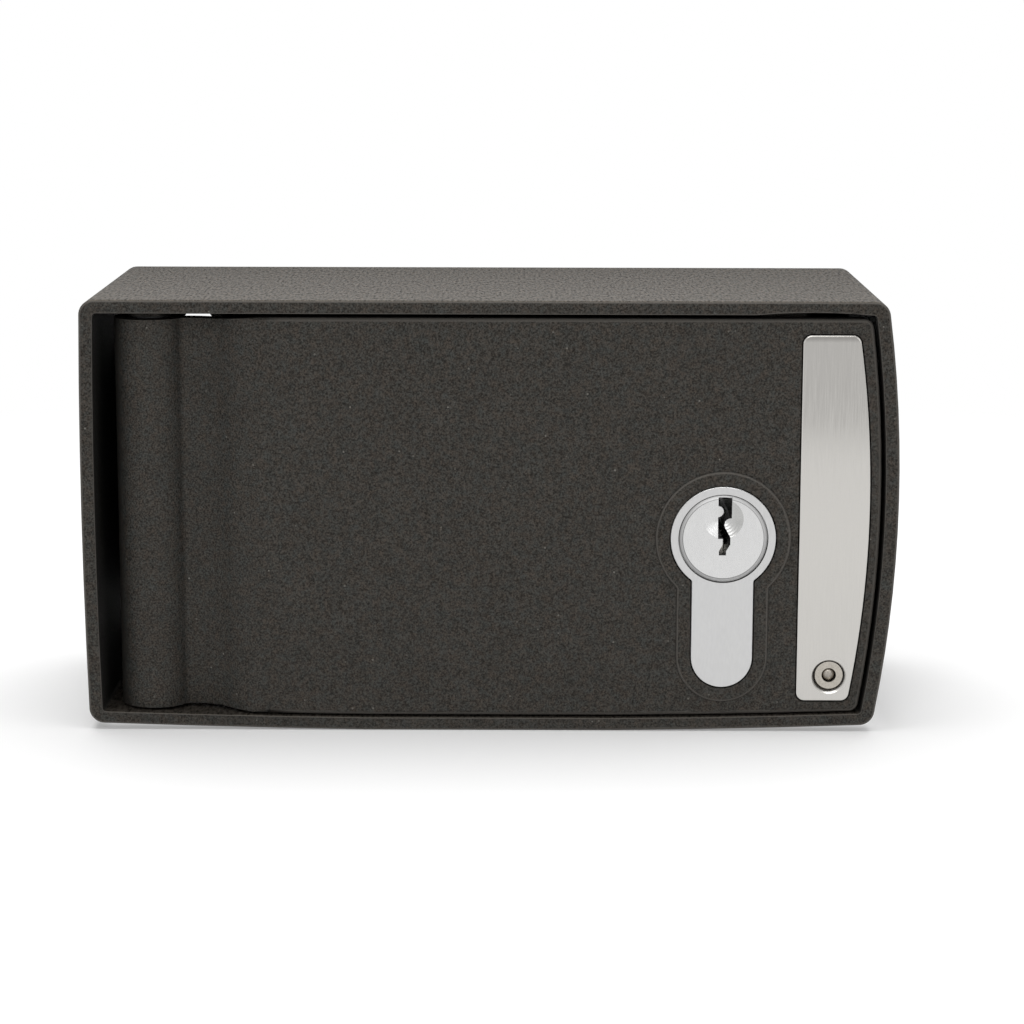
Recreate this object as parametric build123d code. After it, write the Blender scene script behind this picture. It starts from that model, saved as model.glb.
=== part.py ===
from build123d import *
import os
from math import asin, atan2, cos, radians, sin, sqrt

# Key box with a hinged door, locked by a half euro-profile cylinder.
# Sizes are in millimetres. X runs right, Z up, and Y from the front rim (Y = 0) to the back.
# Each piece is moved forward by half the depth when it is written.

# Box
width = 131.0
height = 70.0
depth = 53.0
side_wall = 2.3
top_wall = 2.2
bottom_wall = 2.15
back_wall = 3.0
corner_radius = 2.5
inner_corner_radius = 0.6
edge_round = 0.5
inner_edge_round = 0.25

# Shallow scoop under the top wall, above the free corner of the door
scoop_from_corner = 0.3
scoop_depth = 0.4
scoop_radius = 100.0
scoop_length = 5.0

# Bowed sides and underside
bow_height = 38.5
right_bow_radius = 204.0
left_bow_radius = 1200.0
foot_half_width = 20.0
underside_radius = 1700.0
floor_radius = 2000.0

# Wall fixing holes
wall_hole_spacing_x = 104.0
wall_hole_spacing_z = 50.0
wall_hole_radius = 2.75
wall_hole_sink_radius = 4.6
wall_hole_sink_depth = 1.4

# Door
door_recess = 0.5
door_thickness = 3.2
door_side_gap = 0.5
door_top_gap = 0.6
door_bottom_gap = 0.22
door_corner_radius = 1.6
door_edge_round = 0.7

# Hinge
hinge_from_side = 10.8
barrel_radius = 5.7
barrel_recess = 0.9
valley_depth = 4.3
valley_radius = 1.5
flat_from_side = 29.5
pin_radius = 2.0
pin_press = 0.01
pin_clearance = 0.06
pin_cover = 1.1
pin_chamfer = 0.4
hinge_boss_radius = 3.4
top_boss_height = 0.9
bottom_boss_height = 0.05
washer_thickness = 0.25
hinge_play = 0.05
relief_length = 8.0

# Half euro-profile cylinder
lock_from_side = 28.05
lock_height = 31.8
profile_radius = 8.5
profile_half_width = 5.0
profile_height = 33.0
profile_neck_radius = 0.5
cylinder_length = 40.0
cylinder_chamfer = 0.12
cam_centre_depth = 30.0
cam_gap_width = 10.0
bridge_top_below_plug = 15.8
door_cylinder_gap = 0.15
border_width = 2.4
border_round = 0.45
border_neck_radius = 0.8
housing_depth = 24.3

# Plug
plug_radius = 6.5
plug_clearance = 0.05
plug_head_radius = 7.1
plug_head_depth = 1.1
plug_head_gap = 0.12
plug_bevel = 0.6
plug_bevel_depth = 0.25
plug_setback = 0.1
dimple_radius = 3.2
dimple_depth = 0.8
dimple_rise = 3.2
dimple_tip_radius = 0.2
tail_radius = 4.5

# Keyway, measured from the middle of the plug
keyway_top = 6.75
keyway_bottom = 2.7
keyway_left = 0.85
keyway_right = 1.35
keyway_step = 3.3
keyway_waist = 0.55
keyway_waist_height = 1.3
keyway_low_left = 0.1
keyway_low_right = 1.13
keyway_low_top = 0.2
keyway_low_end = 0.95
keyway_foot_left = 0.68
keyway_foot_right = 0.47
keyway_foot_top = 2.0
left_rib_x = 0.92
left_rib_height = 4.35
left_rib_radius = 0.95
right_rib_x = 1.3
right_rib_height = 2.15
right_rib_radius = 1.1
keyway_end_wall = 1.0

# Pin stacks
pin_count = 5
pin_pitch = 3.8
first_pin_depth = 6.0
chamber_radius = 1.5
tumbler_radius = 1.44
key_pin_top_below_plug = 1.2
driver_length = 4.5
spring_wall = 0.35
chamber_plug_length = 1.6
shear_gap = 0.06

# Cam, clip and bolt
cam_ring_radius = 8.3
cam_side_gap = 0.2
cam_bore_gap = 0.02
cam_reach = 15.3
cam_tip_radius = 2.5
cam_locked_angle = 30.0
key_turn = 45.0
clip_thickness = 0.9
clip_radius = 8.0
clip_groove_depth = 0.8
clip_gap = 0.1
clip_bore_gap = 0.02
bolt_top_below_plug = 11.6
bolt_height = 3.9
bolt_width = 8.8
bolt_notch_gap = 0.35
bolt_tail = 4.0
bolt_slot_gap = 0.15
bolt_engagement = 2.7
bolt_chamfer = 0.5

# Cylinder fixing screw
fixing_radius = 2.5
fixing_below_plug = 20.2
fixing_clearance = 0.25
fixing_head_radius = 4.6
fixing_gap = 0.02

# Bolt guide on the door
guide_from_lock = 9.4
guide_length = 6.2
guide_bottom_below_plug = 24.6
guide_wall = 2.2
guide_back = 36.0
guide_top_above_plug = 2.2
guide_overlap = 2.3
arm_from_lock = 13.8
cover_thickness = 1.5
cover_inset = 0.3

# Small screws
screw_radius = 1.5
screw_gap = 0.02
screw_head_radius = 2.7
screw_head_height = 1.7
screw_socket_radius = 1.0
screw_socket_depth = 1.0
screw_depth = 6.0
cover_screw_spacing = 6.4

# Keep block on a cast pad of the right wall, in front of the thrown bolt
keep_from_side = 8.5
keep_thickness = 3.5
keep_height = 20.0
keep_depth = 7.7
keep_bolt_gap = 0.4
keep_corner_radius = 1.5
keep_screw_spacing = 12.0
keep_screw_length = 5.9
keep_screw_end_gap = 0.2

# Door stops
low_stop_from_side = 45.5
top_stop_from_side = 18.5
stop_width = 7.0
stop_reach = 5.0
stop_length = 4.0
buffer_radius = 2.0
buffer_thickness = 1.0
buffer_gap = 0.15

# Trim strip
strip_from_side = 15.9
strip_edge_from_side = 4.56
strip_top_margin = 5.35
strip_bottom_margin = 5.0
strip_thickness = 1.5
strip_proud = 0.2
strip_gap = 0.15
strip_corner_radius = 1.4
strip_bevel = 0.3
strip_tab_width = 5.0
strip_tab_height = 1.6
strip_tab_length = 3.2
strip_tab_below_top = 6.0
strip_tab_from_side = 4.6
strip_bow_radius = 176.0
strip_bow_height = 37.0

# Rivet in the strip
rivet_from_strip = 5.29
rivet_above_strip = 4.3
rivet_radius = 1.6
rivet_hole_gap = 0.05
rivet_head_radius = 2.25
rivet_head_depth = 0.8
rivet_sink_radius = 2.8
rivet_sink_drop = 0.25
rivet_bulb_radius = 2.5
rivet_bulb_length = 2.6
rivet_bulb_round = 0.8
mandrel_radius = 1.15
mandrel_gap = 0.02
mandrel_round = 0.4
rivet_setback = 0.15
mandrel_setback = 0.7

# Key hooks
rail_from_side = 51.5
rail_width = 44.0
rail_height = 9.0
rail_centre_z = 55.0
rail_thickness = 1.2
rail_boss_radius = 3.5
rail_boss_height = 3.0
rail_screw_spacing = 28.0
hook_count = 3
hook_pitch = 14.0
hook_width = 3.0
hook_reach = 9.0
hook_rise = 4.0
hook_bend = 1.5

# How far cutting solids run past the faces they cut
over = 1.0
far = 2 * width

# Places worked out from the sizes above
left_side = -width / 2
right_side = width / 2
inner_top = height - top_wall
inner_back = depth - back_wall
door_front = door_recess
door_back = door_recess + door_thickness
door_top = inner_top - door_top_gap
hinge_x = left_side + hinge_from_side
hinge_y = door_front + barrel_recess + barrel_radius
lock_x = right_side - lock_from_side
lock_z = lock_height
profile_drop = profile_height - profile_radius - profile_half_width
cam_gap_front = cam_centre_depth - cam_gap_width / 2
cam_gap_rear = cam_centre_depth + cam_gap_width / 2
cam_throw = cam_reach - cam_tip_radius
cam_rest_angle = cam_locked_angle - key_turn
bolt_stroke = cam_throw * (sin(radians(cam_locked_angle)) - sin(radians(cam_rest_angle)))
bolt_z = lock_z - bolt_top_below_plug - bolt_height / 2
keep_face_x = right_side - keep_from_side
keep_seat_x = keep_face_x + keep_thickness
keep_back_y = cam_centre_depth - bolt_width / 2 - keep_bolt_gap
keep_middle_y = keep_back_y - keep_depth / 2
bolt_tip_x = keep_face_x + bolt_engagement - bolt_stroke
guide_left = lock_x + guide_from_lock
guide_right = guide_left + guide_length
guide_bottom = lock_z - guide_bottom_below_plug
guide_top = lock_z + guide_top_above_plug
guide_middle = (guide_left + guide_right) / 2
bridge_top = lock_z - bridge_top_below_plug
fixing_z = lock_z - fixing_below_plug
clip_front = cam_gap_front + clip_gap
clip_back = clip_front + clip_thickness
cam_front = clip_back + 2 * clip_gap + cam_side_gap
cam_rear = cam_gap_rear - cam_side_gap
low_stop_x = right_side - low_stop_from_side
top_stop_x = right_side - top_stop_from_side
rail_x = left_side + rail_from_side
strip_left = right_side - strip_from_side
strip_front = door_front - strip_proud
strip_back = strip_front + strip_thickness
strip_tab_z = height - strip_top_margin - strip_tab_below_top
rivet_x = strip_left + rivet_from_strip
rivet_z = strip_bottom_margin + rivet_above_strip


def block(x0, x1, y0, y1, z0, z1):
    """A rectangular solid between two corners."""
    return Pos((x0 + x1) / 2, (y0 + y1) / 2, (z0 + z1) / 2) * Box(x1 - x0, y1 - y0, z1 - z0)


def along_y(sketch, y0, y1):
    """A front-view outline carried from one depth to another."""
    return Pos(0, y0, 0) * extrude(Plane.XZ * sketch, y0 - y1)


def rod_y(x, z, radius, y0, y1):
    """A round bar that runs front to back."""
    return along_y(Pos(x, z) * Circle(radius), y0, y1)


def rod_z(x, y, radius, z0, z1):
    """A round upright bar."""
    return Pos(x, y, z0) * extrude(Circle(radius), z1 - z0)


def rod_x(y, z, radius, x0, x1):
    """A round bar that runs left to right."""
    return Pos(x0, y, z) * extrude(Plane.YZ * Circle(radius), x1 - x0)


def right_edge(z, inset):
    """X of the right side, drawn in by the inset, at height z."""
    radius = right_bow_radius - inset
    return right_side - inset - radius + sqrt(radius**2 - (z - bow_height) ** 2)


def left_edge(z, inset):
    """X of the left side, drawn in by the inset, at height z."""
    radius = left_bow_radius - inset
    return left_side + inset + radius - sqrt(radius**2 - (z - bow_height) ** 2)


def underside(x, inset, radius):
    """Height of the bowed underside, or of the floor above it, at x."""
    return inset + sqrt(radius**2 - foot_half_width**2) - sqrt(radius**2 - x**2)


def front_outline(side_inset, top, bottom, radius, corner):
    """The box's front view, drawn in from the outer sides."""
    low_right = underside(right_side - side_inset - corner, bottom, radius)
    low_left = underside(left_side + side_inset + corner, bottom, radius)
    right_low = right_edge(low_right, side_inset)
    left_low = left_edge(low_left, side_inset)
    right_top = right_edge(top, side_inset)
    left_top = left_edge(top, side_inset)
    mid_right = (foot_half_width + right_low) / 2
    mid_left = (left_low - foot_half_width) / 2
    edges = [
        Line((-foot_half_width, bottom), (foot_half_width, bottom)),
        ThreePointArc((foot_half_width, bottom), (mid_right, underside(mid_right, bottom, radius)),
                      (right_low, low_right)),
        ThreePointArc((right_low, low_right), (right_edge(bow_height, side_inset), bow_height),
                      (right_top, top)),
        Line((right_top, top), (left_top, top)),
        ThreePointArc((left_top, top), (left_edge(bow_height, side_inset), bow_height),
                      (left_low, low_left)),
        ThreePointArc((left_low, low_left), (mid_left, underside(mid_left, bottom, radius)),
                      (-foot_half_width, bottom)),
    ]
    face = make_face(edges)
    corners = [v for v in face.vertices() if abs(v.X) > foot_half_width + corner]
    return fillet(corners, corner)


def profile(grow, neck):
    """The euro-profile outline, grown all round, with its two neck corners rounded."""
    round_part = Pos(lock_x, lock_z) * Circle(profile_radius + grow)
    half = profile_half_width + grow
    stem = Pos(lock_x, lock_z - profile_drop / 2) * Rectangle(2 * half, profile_drop)
    foot = Pos(lock_x, lock_z - profile_drop) * Circle(half)
    shape = round_part + stem + foot
    necks = [v for v in shape.vertices() if lock_z - profile_drop / 2 < v.Y < lock_z]
    return fillet(necks, neck)


def cap_screw_y(x, z, y_seat, length):
    """A socket cap screw driven from the back, with its head behind the seat."""
    shank = rod_y(x, z, screw_radius - screw_gap, y_seat - length, y_seat)
    head = rod_y(x, z, screw_head_radius, y_seat, y_seat + screw_head_height)
    socket_start = y_seat + screw_head_height - screw_socket_depth
    socket = along_y(Pos(x, z) * RegularPolygon(screw_socket_radius, 6), socket_start,
                     y_seat + screw_head_height)
    return shank + head - socket


def countersunk_screw_x(y, z, x_face, length):
    """A countersunk screw driven to the right, flush with the face it holds."""
    shank = rod_x(y, z, screw_radius - screw_gap, x_face, x_face + length)
    head = Cone(screw_head_radius, screw_radius - screw_gap, screw_head_radius - screw_radius)
    head = Pos(x_face + (screw_head_radius - screw_radius) / 2, y, z) * Rot(0, 90, 0) * head
    socket = Pos(x_face, y, z) * extrude(Plane.YZ * RegularPolygon(screw_socket_radius, 6),
                                         screw_socket_depth)
    return shank + head - socket


def cone_y(x, z, front_radius, back_radius, y0, y1):
    """A cone that runs front to back."""
    return Pos(x, (y0 + y1) / 2, z) * Rot(90, 0, 0) * Cone(back_radius, front_radius, y1 - y0)


def save(name, shape):
    """Write one piece, moved so that the origin is the middle of the footprint."""
    export_step(Pos(0, -depth / 2, 0) * shape, "parts/" + name + ".step")


# Hinge heights, from the bosses cast on the bowed floor and under the top
hinge_floor = underside(hinge_x - hinge_boss_radius, bottom_wall, floor_radius) + bottom_boss_height
hinge_ceiling = inner_top - top_boss_height
barrel_bottom = hinge_floor + washer_thickness + hinge_play
barrel_top = hinge_ceiling - washer_thickness - hinge_play
hinge_pin_bottom = underside(hinge_x, 0, underside_radius)


def make_casing():
    """Deep cast tray with hinge bosses, door stops and rail bosses."""
    outer = along_y(front_outline(0, height, 0, underside_radius, corner_radius), 0, depth)
    rim = outer.edges().group_by(Axis.Y)[0] + outer.edges().group_by(Axis.Y)[-1]
    outer = fillet(rim, edge_round)
    room = along_y(front_outline(side_wall, inner_top, bottom_wall, floor_radius,
                                 inner_corner_radius), -over, inner_back)
    scoop_end = right_edge(inner_top, side_wall) - inner_corner_radius - scoop_from_corner
    scoop_half = sqrt(scoop_radius**2 - (scoop_radius - scoop_depth) ** 2)
    scoop = rod_y(scoop_end - scoop_half, inner_top + scoop_depth - scoop_radius,
                  scoop_radius, -over, scoop_length)
    room += scoop & block(0, scoop_end, -over, scoop_length, inner_top - over, height)
    solid_wall = along_y(front_outline(side_wall / 2, height - top_wall / 2, bottom_wall / 2,
                                       floor_radius, corner_radius), 0, depth)
    casing = outer - room
    rim_face = casing.faces().sort_by(Axis.Y)[0]
    casing = fillet(rim_face.inner_wires()[0].edges(), inner_edge_round)

    casing += rod_z(hinge_x, hinge_y, hinge_boss_radius, hinge_floor - bottom_wall / 2, hinge_floor)
    casing += rod_z(hinge_x, hinge_y, hinge_boss_radius, hinge_ceiling, height - top_wall / 2)
    casing -= rod_z(hinge_x, hinge_y, pin_radius + pin_press, -over, height - pin_cover)

    casing += keep_shape(keep_seat_x, far) & solid_wall
    for z in keep_screw_heights():
        casing -= rod_x(keep_middle_y, z, screw_radius, keep_face_x,
                        keep_face_x + keep_screw_length + keep_screw_end_gap)

    stop_front = door_back + buffer_gap + buffer_thickness
    for x, z0, z1 in stop_spans():
        lug = block(x - stop_width / 2, x + stop_width / 2, stop_front,
                    stop_front + stop_length, z0, z1)
        casing += lug & solid_wall

    for x in rail_screw_places():
        boss = rod_y(x, rail_centre_z, rail_boss_radius, inner_back - rail_boss_height,
                     inner_back + back_wall / 2)
        casing += boss
        casing -= rod_y(x, rail_centre_z, screw_radius, inner_back - rail_boss_height - over,
                        inner_back - rail_boss_height - rail_thickness + screw_depth)

    for x in (-wall_hole_spacing_x / 2, wall_hole_spacing_x / 2):
        for z in wall_hole_heights():
            casing -= rod_y(x, z, wall_hole_radius, inner_back - over, depth + over)
            casing -= cone_y(x, z, wall_hole_sink_radius, wall_hole_radius, inner_back,
                             inner_back + wall_hole_sink_depth)
    return casing


def wall_hole_heights():
    """Heights of the lower and upper fixing holes."""
    middle = height / 2
    return (middle - wall_hole_spacing_z / 2, middle + wall_hole_spacing_z / 2)


def keep_shape(x0, x1):
    """The keep block's outline from one X to another, shared by the block and its pad."""
    shape = block(x0, x1, keep_back_y - keep_depth, keep_back_y, bolt_z - keep_height / 2,
                  bolt_z + keep_height / 2)
    return fillet(shape.edges().filter_by(Axis.X), keep_corner_radius)


def keep_screw_heights():
    """Heights of the two screws that hold the keep block."""
    return (bolt_z - keep_screw_spacing / 2, bolt_z + keep_screw_spacing / 2)


def stop_spans():
    """X, bottom and top of the two door stops."""
    floor = underside(low_stop_x, bottom_wall, floor_radius)
    return ((low_stop_x, 0, floor + stop_reach), (top_stop_x, inner_top - stop_reach, height))


def rail_screw_places():
    """X of the two screws that hold the key rail."""
    return (rail_x - rail_screw_spacing / 2, rail_x + rail_screw_spacing / 2)


def reverse_curve(flat_x, valley_x, shift):
    """Two arcs that lead from the flat face back to the valley."""
    half_run = (flat_x - valley_x) / 2
    half_drop = valley_depth / 2
    radius = (half_run**2 + half_drop**2) / (2 * half_drop)
    half_turn = asin(half_run / radius) / 2
    side = radius * sin(half_turn)
    rise = radius * (1 - cos(half_turn))
    start_y = door_front + shift
    middle = (flat_x - half_run, start_y + half_drop)
    return [
        ThreePointArc((flat_x, start_y), (flat_x - side, start_y + rise), middle),
        ThreePointArc(middle, (valley_x + side, start_y + valley_depth - rise),
                      (valley_x, start_y + valley_depth)),
    ]


def door_plan():
    """Plan view of the door: flat plate, reverse curve, valley and hinge barrel."""
    valley_y = door_front + valley_depth
    reach = barrel_radius + valley_radius
    drop = hinge_y - valley_y + valley_radius
    run = sqrt(reach**2 - drop**2)
    valley_x = hinge_x + run
    flat_x = left_side + flat_from_side
    touch = (hinge_x + barrel_radius * run / reach, hinge_y - barrel_radius * drop / reach)
    valley_turn = atan2(run, drop) / 2
    valley_middle = (valley_x - valley_radius * sin(valley_turn),
                     valley_y - valley_radius * (1 - cos(valley_turn)))
    edges = [Line((far, door_front), (flat_x, door_front))]
    edges += reverse_curve(flat_x, valley_x, 0)
    edges += [
        ThreePointArc((valley_x, valley_y), valley_middle, touch),
        Line(touch, (hinge_x, hinge_y)),
        Line((hinge_x, hinge_y), (valley_x, valley_y + door_thickness)),
    ]
    edges += reverse_curve(flat_x, valley_x, door_thickness)
    edges += [
        Line((flat_x, door_back), (far, door_back)),
        Line((far, door_back), (far, door_front)),
    ]
    return make_face(edges) + Pos(hinge_x, hinge_y) * Circle(barrel_radius)


def hinge_relief(door_edge, barrel_end):
    """Front-view wedge that shortens the hinge side of the door at one end."""
    flat_x = left_side + flat_from_side
    away = far if barrel_end > height / 2 else -far
    points = [(-far, barrel_end), (flat_x - relief_length, barrel_end), (flat_x, door_edge),
              (flat_x, away), (-far, away)]
    return along_y(make_face(Polyline(points, close=True)), -far, far)


def strip_outline(grow):
    """Front view of the trim strip: straight left edge and bowed right edge."""
    left = strip_left - grow
    right = right_side - strip_edge_from_side + grow
    top = height - strip_top_margin + grow
    bottom = strip_bottom_margin - grow
    radius = strip_bow_radius + grow

    def bow(z):
        return right - radius + sqrt(radius**2 - (z - strip_bow_height) ** 2)

    edges = [
        Line((left, top), (left, bottom)),
        Line((left, bottom), (bow(bottom), bottom)),
        ThreePointArc((bow(bottom), bottom), (right, strip_bow_height), (bow(top), top)),
        Line((bow(top), top), (left, top)),
    ]
    face = make_face(edges)
    return fillet(face.vertices(), strip_corner_radius + grow)


def strip_tab(grow):
    """The tab that locates the top of the strip in the door."""
    middle = strip_left + strip_tab_from_side
    return block(middle - strip_tab_width / 2 - grow, middle + strip_tab_width / 2 + grow,
                 strip_back - strip_thickness / 2, strip_back + strip_tab_length + grow,
                 strip_tab_z - strip_tab_height / 2 - grow,
                 strip_tab_z + strip_tab_height / 2 + grow)


def make_door():
    """Cast door with barrel, cylinder border and housing, bolt guide and strip recess."""
    outline = along_y(front_outline(side_wall + door_side_gap, door_top,
                                    bottom_wall + door_bottom_gap, floor_radius,
                                    door_corner_radius), door_front, hinge_y + 2 * barrel_radius)
    outline = fillet(outline.edges().group_by(Axis.Y)[0], door_edge_round)
    door = extrude(door_plan(), height) & outline
    flat_x = left_side + flat_from_side
    door -= hinge_relief(door_top, barrel_top)
    low_edge = underside(flat_x, bottom_wall + door_bottom_gap, floor_radius)
    door -= hinge_relief(low_edge, barrel_bottom)

    inside_plate = door_front + door_thickness / 2
    border = along_y(profile(border_width, border_neck_radius), 0, door_back)
    door += fillet(border.edges().group_by(Axis.Y)[0], border_round)
    door += along_y(profile(border_width, border_neck_radius), inside_plate, housing_depth)

    arm = block(lock_x, lock_x + arm_from_lock, inside_plate, housing_depth, guide_bottom,
                guide_top)
    guide = block(guide_left, guide_right, housing_depth - guide_overlap, guide_back,
                  guide_bottom, guide_top)
    fixing_lug = block(lock_x + profile_half_width + fixing_clearance, guide_middle,
                       housing_depth - guide_overlap, cam_centre_depth + fixing_radius
                       + guide_wall, guide_bottom, bridge_top)
    door += arm + guide + fixing_lug
    door -= along_y(profile(door_cylinder_gap, profile_neck_radius), -over, housing_depth + over)
    slot_half = bolt_width / 2 + bolt_slot_gap
    slot_rise = bolt_height / 2 + bolt_slot_gap
    door -= block(guide_left - over, guide_right + over, cam_centre_depth - slot_half,
                  guide_back + over, bolt_z - slot_rise, bolt_z + slot_rise)
    for z in cover_screw_heights():
        door -= rod_y(guide_middle, z, screw_radius, guide_back + cover_thickness - screw_depth,
                      guide_back + over)
    door -= rod_x(cam_centre_depth, fixing_z, fixing_radius + fixing_clearance, lock_x, far)
    sink_length = fixing_head_radius - fixing_radius
    sink = Cone(fixing_radius, fixing_head_radius + fixing_clearance, sink_length)
    door -= Pos(guide_right - sink_length / 2, cam_centre_depth, fixing_z) * Rot(0, 90, 0) * sink

    door -= along_y(strip_outline(strip_gap), -over, strip_back)
    door -= strip_tab(strip_gap)
    door -= rod_y(rivet_x, rivet_z, rivet_radius + rivet_hole_gap, 0, door_back + over)
    door -= rod_z(hinge_x, hinge_y, pin_radius + pin_clearance, -over, height + over)
    return door


def make_hinge_pin():
    """Plain steel pin, pressed in from below and covered at the top."""
    pin = rod_z(hinge_x, hinge_y, pin_radius, hinge_pin_bottom, height - pin_cover)
    return chamfer(pin.edges().group_by(Axis.Z)[-1], pin_chamfer)


def make_hinge_washers():
    """Two thin washers that carry the barrel between the bosses."""
    bottom = rod_z(hinge_x, hinge_y, hinge_boss_radius, hinge_floor, hinge_floor + washer_thickness)
    top = rod_z(hinge_x, hinge_y, hinge_boss_radius, hinge_ceiling - washer_thickness,
                hinge_ceiling)
    bore = rod_z(hinge_x, hinge_y, pin_radius + pin_clearance, 0, height)
    return Compound([bottom - bore, top - bore])


def make_cylinder_body():
    """Half euro-profile body with plug bore, cam gap, pin chambers and fixing thread."""
    body = along_y(profile(0, profile_neck_radius), 0, cylinder_length)
    body = chamfer(body.edges().group_by(Axis.Y)[0], cylinder_chamfer)
    body -= rod_y(lock_x, lock_z, plug_radius + plug_clearance, -over, cam_gap_front + over)
    body -= rod_y(lock_x, lock_z, plug_head_radius + plug_head_gap, -over,
                  plug_setback + plug_head_depth + plug_head_gap)
    body -= block(lock_x - profile_radius - over, lock_x + profile_radius + over, cam_gap_front,
                  cam_gap_rear, bridge_top, height)
    for y in pin_depths():
        body -= rod_z(lock_x, y, chamber_radius, 0, lock_z - plug_radius + chamber_radius)
    body -= rod_x(cam_centre_depth, fixing_z, fixing_radius, lock_x - profile_radius,
                  lock_x + profile_radius)
    return body


def pin_depths():
    """Depths of the pin stacks behind the face of the cylinder."""
    return [first_pin_depth + i * pin_pitch for i in range(pin_count)]


def keyway():
    """Keyhole outline, drawn from the centre of the plug."""
    right = [(keyway_right, keyway_top), (keyway_right, keyway_step),
             (keyway_waist, keyway_waist_height), (keyway_low_right, keyway_low_top),
             (keyway_low_right, -keyway_low_end), (keyway_foot_right, -keyway_foot_top),
             (keyway_foot_right, -keyway_bottom)]
    left = [(-keyway_foot_left, -keyway_bottom), (-keyway_foot_left, -keyway_foot_top),
            (-keyway_low_left, -keyway_low_end), (-keyway_low_left, 0),
            (-keyway_left, 0), (-keyway_left, keyway_top)]
    hole = make_face(Polyline(right + left, close=True))
    left_rib = Pos(-left_rib_x, left_rib_height) * Circle(left_rib_radius)
    right_rib = Pos(right_rib_x, right_rib_height) * Circle(right_rib_radius)
    return Pos(lock_x, lock_z) * (hole - left_rib - right_rib)


def make_plug():
    """Turned plug with keyway, guide dimple, pin holes, clip groove and tail."""
    face = plug_setback
    plug = cone_y(lock_x, lock_z, plug_head_radius - plug_bevel, plug_head_radius, face,
                  face + plug_bevel_depth)
    plug += rod_y(lock_x, lock_z, plug_head_radius, face + plug_bevel_depth,
                  face + plug_head_depth)
    plug += rod_y(lock_x, lock_z, plug_radius, face + plug_bevel_depth, clip_back + clip_gap)
    plug += rod_y(lock_x, lock_z, tail_radius, clip_back, cam_rear - cam_side_gap)
    groove = rod_y(lock_x, lock_z, plug_radius + over, clip_front - clip_gap / 2,
                   clip_back + clip_gap / 2)
    groove -= rod_y(lock_x, lock_z, plug_radius - clip_groove_depth, clip_front - over,
                    clip_back + over)
    plug -= groove
    plug -= along_y(keyway(), -over, cam_gap_front - keyway_end_wall)
    plug -= cone_y(lock_x, lock_z + dimple_rise, dimple_radius, dimple_tip_radius, face,
                   face + dimple_depth)
    for y in pin_depths():
        plug -= rod_z(lock_x, y, chamber_radius, lock_z - plug_radius - over,
                      lock_z - key_pin_top_below_plug)
    return plug


def make_key_pins():
    """Key pins, lifted to the shear line as by the right key."""
    low = lock_z - sqrt(plug_radius**2 - tumbler_radius**2)
    top = lock_z - key_pin_top_below_plug - shear_gap
    return Compound([rod_z(lock_x, y, tumbler_radius, low, top) for y in pin_depths()])


def driver_bottom():
    """Height of the lower ends of the driver pins."""
    return lock_z - plug_radius - plug_clearance - shear_gap - driver_length


def make_driver_pins():
    """Driver pins under the shear line."""
    low = driver_bottom()
    return Compound([rod_z(lock_x, y, tumbler_radius, low, low + driver_length)
                     for y in pin_depths()])


def chamber_floor():
    """Height of the undersides of the chamber plugs."""
    return lock_z - profile_drop - profile_half_width + cylinder_chamfer


def make_pin_springs():
    """Pin springs, drawn as thin sleeves between driver pin and chamber plug."""
    low = chamber_floor() + chamber_plug_length
    springs = []
    for y in pin_depths():
        sleeve = rod_z(lock_x, y, tumbler_radius, low, driver_bottom())
        springs.append(sleeve - rod_z(lock_x, y, tumbler_radius - spring_wall, 0, height))
    return Compound(springs)


def make_chamber_plugs():
    """Brass plugs that close the pin chambers from below."""
    low = chamber_floor()
    return Compound([rod_z(lock_x, y, chamber_radius, low, low + chamber_plug_length)
                     for y in pin_depths()])


def make_circlip():
    """Open spring clip that holds the plug in the body."""
    ring = Circle(clip_radius) - Circle(plug_radius - clip_groove_depth + clip_bore_gap)
    mouth = Pos(0, clip_radius) * Rectangle(plug_radius, 2 * clip_radius)
    return along_y(Pos(lock_x, lock_z) * (ring - mouth), clip_front, clip_back)


def make_cam():
    """Cam ring with one rounded lug, set to the right of straight down."""
    lug = Pos(0, -cam_throw / 2) * Rectangle(2 * cam_tip_radius, cam_throw)
    lug += Pos(0, -cam_throw) * Circle(cam_tip_radius)
    shape = Circle(cam_ring_radius) + lug - Circle(tail_radius + cam_bore_gap)
    return along_y(Pos(lock_x, lock_z) * Rot(0, 0, cam_rest_angle) * shape, cam_front, cam_rear)


def make_slide_bolt():
    """Flat steel bolt with a notch for the cam."""
    notch_x = lock_x + cam_throw * sin(radians(cam_rest_angle))
    notch_half = cam_tip_radius + bolt_notch_gap
    low = bolt_z - bolt_height / 2
    top = bolt_z + bolt_height / 2
    front = cam_centre_depth - bolt_width / 2
    back = cam_centre_depth + bolt_width / 2
    bolt = block(notch_x - notch_half - bolt_tail, bolt_tip_x, front, back, low, top)
    bolt = chamfer(bolt.edges().group_by(Axis.X)[-1], bolt_chamfer)
    return bolt - block(notch_x - notch_half, notch_x + notch_half, cam_front - bolt_notch_gap,
                        back + over, low - over, top + over)


def make_fixing_screw():
    """Long countersunk screw that holds the cylinder in the door."""
    start = lock_x - profile_half_width
    head_length = fixing_head_radius - fixing_radius
    screw = rod_x(cam_centre_depth, fixing_z, fixing_radius - fixing_gap, start, guide_right
                  - head_length / 2)
    head = Cone(fixing_radius - fixing_gap, fixing_head_radius, head_length)
    screw += Pos(guide_right - head_length / 2, cam_centre_depth, fixing_z) * Rot(0, 90, 0) * head
    for turn in (0, 90):
        slot = Pos(guide_right, cam_centre_depth, fixing_z) * Rot(turn, 0, 0)
        screw -= slot * Box(2 * screw_socket_depth, screw_socket_radius, 2 * fixing_radius)
    return screw


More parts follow.
